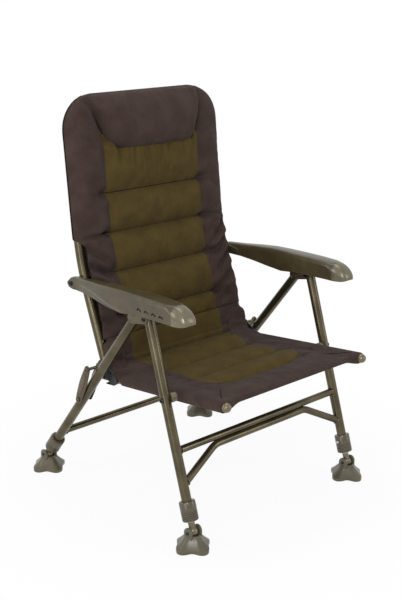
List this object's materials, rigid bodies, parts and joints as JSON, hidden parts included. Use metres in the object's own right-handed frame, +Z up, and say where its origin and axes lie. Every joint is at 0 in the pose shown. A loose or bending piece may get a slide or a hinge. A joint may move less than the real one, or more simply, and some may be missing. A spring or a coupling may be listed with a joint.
{
  "type": "folding fishing chair",
  "caption": "Folding padded fishing chair with reclining back, ratchet armrests, telescopic legs and swivelling mud feet.",
  "frame": {"origin": "on the ground, under the middle of the chair's box", "axes": "+Z up; the sitter faces -Y; +X is the sitter's left"},
  "size_m": [0.678, 0.7211, 1.0433],
  "materials": {
    "painted_tube": "satin metallic olive-bronze",
    "armrest_moulding": "fine grained satin, glossy nose",
    "collar_moulding": "satin",
    "foot_moulding": "satin",
    "zinc_steel": "bright plated",
    "dark_steel": "satin",
    "bronze_plastic": "glossy",
    "black_plastic": "satin",
    "tan_nylon": "matt",
    "brown_polyester": "soft brushed weave, green quilted panels"
  },
  "bodies": {
    "front_legs": {"front_leg_frame": "painted_tube", "leg_pivot_bolt_right": "dark_steel", "armrest_catch_right": "black_plastic", "seat_pivot_bolt_right": "dark_steel", "seat_pivot_spacer_right": "tan_nylon", "leg_pivot_bolt_left": "dark_steel", "armrest_catch_left": "black_plastic", "seat_pivot_bolt_left": "dark_steel", "seat_pivot_spacer_left": "tan_nylon", "collar_front_right": "collar_moulding", "collar_front_left": "collar_moulding"},
    "rear_legs": {"rear_leg_frame": "painted_tube", "link_bolt_lower_right": "dark_steel", "link_bolt_lower_left": "dark_steel", "collar_rear_right": "collar_moulding", "collar_rear_left": "collar_moulding"},
    "seat": {"seat_frame": "painted_tube", "seat_cover": "brown_polyester", "rail_ball_right": "bronze_plastic", "hinge_bracket_right": "black_plastic", "rail_ball_left": "bronze_plastic", "hinge_bracket_left": "black_plastic"},
    "back_hinge_pins": {"hinge_strip": "brown_polyester", "back_hinge_pin_right": "dark_steel", "back_hinge_pin_left": "dark_steel"},
    "backrest": {"backrest_frame": "painted_tube", "back_cover": "brown_polyester", "headrest_pillow": "brown_polyester"},
    "link_right": {"link_outer_right": "painted_tube", "link_inner_right": "painted_tube", "link_bolt_upper_right": "dark_steel"},
    "armrest_bolt_right": {"armrest_bolt_right": "dark_steel", "armrest_plate_right": "dark_steel"},
    "armrest_right": {"armrest_right": "armrest_moulding"},
    "link_left": {"link_outer_left": "painted_tube", "link_inner_left": "painted_tube", "link_bolt_upper_left": "dark_steel"},
    "armrest_bolt_left": {"armrest_bolt_left": "dark_steel", "armrest_plate_left": "dark_steel"},
    "armrest_left": {"armrest_left": "armrest_moulding"},
    "button_front_right": {"collar_button_front_right": "zinc_steel"},
    "leg_tube_front_right": {"inner_leg_front_right": "zinc_steel"},
    "ankle_front_right": {"ankle_front_right": "bronze_plastic"},
    "foot_front_right": {"foot_front_right": "foot_moulding", "foot_pin_front_right": "black_plastic"},
    "button_front_left": {"collar_button_front_left": "zinc_steel"},
    "leg_tube_front_left": {"inner_leg_front_left": "zinc_steel"},
    "ankle_front_left": {"ankle_front_left": "bronze_plastic"},
    "foot_front_left": {"foot_front_left": "foot_moulding", "foot_pin_front_left": "black_plastic"},
    "button_rear_right": {"collar_button_rear_right": "zinc_steel"},
    "leg_tube_rear_right": {"inner_leg_rear_right": "zinc_steel"},
    "ankle_rear_right": {"ankle_rear_right": "bronze_plastic"},
    "foot_rear_right": {"foot_rear_right": "foot_moulding", "foot_pin_rear_right": "black_plastic"},
    "button_rear_left": {"collar_button_rear_left": "zinc_steel"},
    "leg_tube_rear_left": {"inner_leg_rear_left": "zinc_steel"},
    "ankle_rear_left": {"ankle_rear_left": "bronze_plastic"},
    "foot_rear_left": {"foot_rear_left": "foot_moulding", "foot_pin_rear_left": "black_plastic"}
  },
  "joints": [
    {"name": "leg_fold", "type": "hinge", "parent": "front_legs", "child": "rear_legs", "pos_m": [0, -0.12347, 0.54901], "axis": [-1, 0, 0], "range_deg": [0, 46]},
    {"name": "seat_fold", "type": "hinge", "parent": "front_legs", "child": "seat", "pos_m": [0, -0.18462, 0.35796], "axis": [-1, 0, 0], "range_deg": [0, 64]},
    {"name": "back_fold", "type": "hinge", "parent": "seat", "child": "back_hinge_pins", "pos_m": [0, 0.10007, 0.35772], "axis": [-1, 0, 0], "range_deg": [-72, 0]},
    {"name": "recline", "type": "hinge", "parent": "back_hinge_pins", "child": "backrest", "pos_m": [0, 0.10007, 0.35772], "axis": [-1, 0, 0], "range_deg": [0, 22]},
    {"name": "link_fold_right", "type": "hinge", "parent": "rear_legs", "child": "link_right", "pos_m": [-0.29, 0.14138, 0.26228], "axis": [-1, 0, 0], "range_deg": [0, 100]},
    {"name": "armrest_fold_right", "type": "hinge", "parent": "backrest", "child": "armrest_bolt_right", "pos_m": [-0.285, 0.18149, 0.56851], "axis": [-1, 0, 0], "range_deg": [0, 83]},
    {"name": "armrest_level_right", "type": "hinge", "parent": "armrest_bolt_right", "child": "armrest_right", "pos_m": [-0.285, 0.18149, 0.56851], "axis": [-1, 0, 0], "range_deg": [-13, 0]},
    {"name": "link_fold_left", "type": "hinge", "parent": "rear_legs", "child": "link_left", "pos_m": [0.29, 0.14138, 0.26228], "axis": [-1, 0, 0], "range_deg": [0, 100]},
    {"name": "armrest_fold_left", "type": "hinge", "parent": "backrest", "child": "armrest_bolt_left", "pos_m": [0.285, 0.18149, 0.56851], "axis": [-1, 0, 0], "range_deg": [0, 83]},
    {"name": "armrest_level_left", "type": "hinge", "parent": "armrest_bolt_left", "child": "armrest_left", "pos_m": [0.285, 0.18149, 0.56851], "axis": [-1, 0, 0], "range_deg": [-13, 0]},
    {"name": "button_press_front_right", "type": "slide", "parent": "front_legs", "child": "button_front_right", "axis": [-1, 0, 0], "range_m": [0, 0.003], "stiffness_N_per_m": 300},
    {"name": "leg_extend_front_right", "type": "slide", "parent": "front_legs", "child": "leg_tube_front_right", "axis": [0, -0.3049, -0.9524], "range_m": [0, 0.12]},
    {"name": "ankle_swivel_front_right", "type": "hinge", "parent": "leg_tube_front_right", "child": "ankle_front_right", "pos_m": [-0.29, -0.2848, 0.045], "axis": [0, 0.3049, 0.9524], "continuous": true},
    {"name": "foot_tilt_front_right", "type": "hinge", "parent": "ankle_front_right", "child": "foot_front_right", "pos_m": [-0.29, -0.2848, 0.045], "axis": [-1, 0, 0], "range_deg": [-20, 20]},
    {"name": "button_press_front_left", "type": "slide", "parent": "front_legs", "child": "button_front_left", "axis": [1, 0, 0], "range_m": [0, 0.003], "stiffness_N_per_m": 300},
    {"name": "leg_extend_front_left", "type": "slide", "parent": "front_legs", "child": "leg_tube_front_left", "axis": [0, -0.3049, -0.9524], "range_m": [0, 0.12]},
    {"name": "ankle_swivel_front_left", "type": "hinge", "parent": "leg_tube_front_left", "child": "ankle_front_left", "pos_m": [0.29, -0.2848, 0.045], "axis": [0, 0.3049, 0.9524], "continuous": true},
    {"name": "foot_tilt_front_left", "type": "hinge", "parent": "ankle_front_left", "child": "foot_front_left", "pos_m": [0.29, -0.2848, 0.045], "axis": [-1, 0, 0], "range_deg": [-20, 20]},
    {"name": "button_press_rear_right", "type": "slide", "parent": "rear_legs", "child": "button_rear_right", "axis": [-1, 0, 0], "range_m": [0, 0.003], "stiffness_N_per_m": 300},
    {"name": "leg_extend_rear_right", "type": "slide", "parent": "rear_legs", "child": "leg_tube_rear_right", "axis": [0, 0.6166, -0.7873], "range_m": [0, 0.12]},
    {"name": "ankle_swivel_rear_right", "type": "hinge", "parent": "leg_tube_rear_right", "child": "ankle_rear_right", "pos_m": [-0.29, 0.31157, 0.045], "axis": [0, -0.6166, 0.7873], "continuous": true},
    {"name": "foot_tilt_rear_right", "type": "hinge", "parent": "ankle_rear_right", "child": "foot_rear_right", "pos_m": [-0.29, 0.31157, 0.045], "axis": [-1, 0, 0], "range_deg": [-20, 20]},
    {"name": "button_press_rear_left", "type": "slide", "parent": "rear_legs", "child": "button_rear_left", "axis": [1, 0, 0], "range_m": [0, 0.003], "stiffness_N_per_m": 300},
    {"name": "leg_extend_rear_left", "type": "slide", "parent": "rear_legs", "child": "leg_tube_rear_left", "axis": [0, 0.6166, -0.7873], "range_m": [0, 0.12]},
    {"name": "ankle_swivel_rear_left", "type": "hinge", "parent": "leg_tube_rear_left", "child": "ankle_rear_left", "pos_m": [0.29, 0.31157, 0.045], "axis": [0, -0.6166, 0.7873], "continuous": true},
    {"name": "foot_tilt_rear_left", "type": "hinge", "parent": "ankle_rear_left", "child": "foot_rear_left", "pos_m": [0.29, 0.31157, 0.045], "axis": [-1, 0, 0], "range_deg": [-20, 20]}
  ],
  "couplings": [
    {"joint": "seat_fold", "follows": "leg_fold", "ratio": 1.37},
    {"joint": "back_fold", "follows": "leg_fold", "ratio": -1.543},
    {"joint": "link_fold_right", "follows": "leg_fold", "ratio": 2.157},
    {"joint": "armrest_fold_right", "follows": "leg_fold", "ratio": 1.783},
    {"joint": "armrest_level_right", "follows": "recline", "ratio": -0.585},
    {"joint": "link_fold_left", "follows": "leg_fold", "ratio": 2.157},
    {"joint": "armrest_fold_left", "follows": "leg_fold", "ratio": 1.783},
    {"joint": "armrest_level_left", "follows": "recline", "ratio": -0.585}
  ]
}
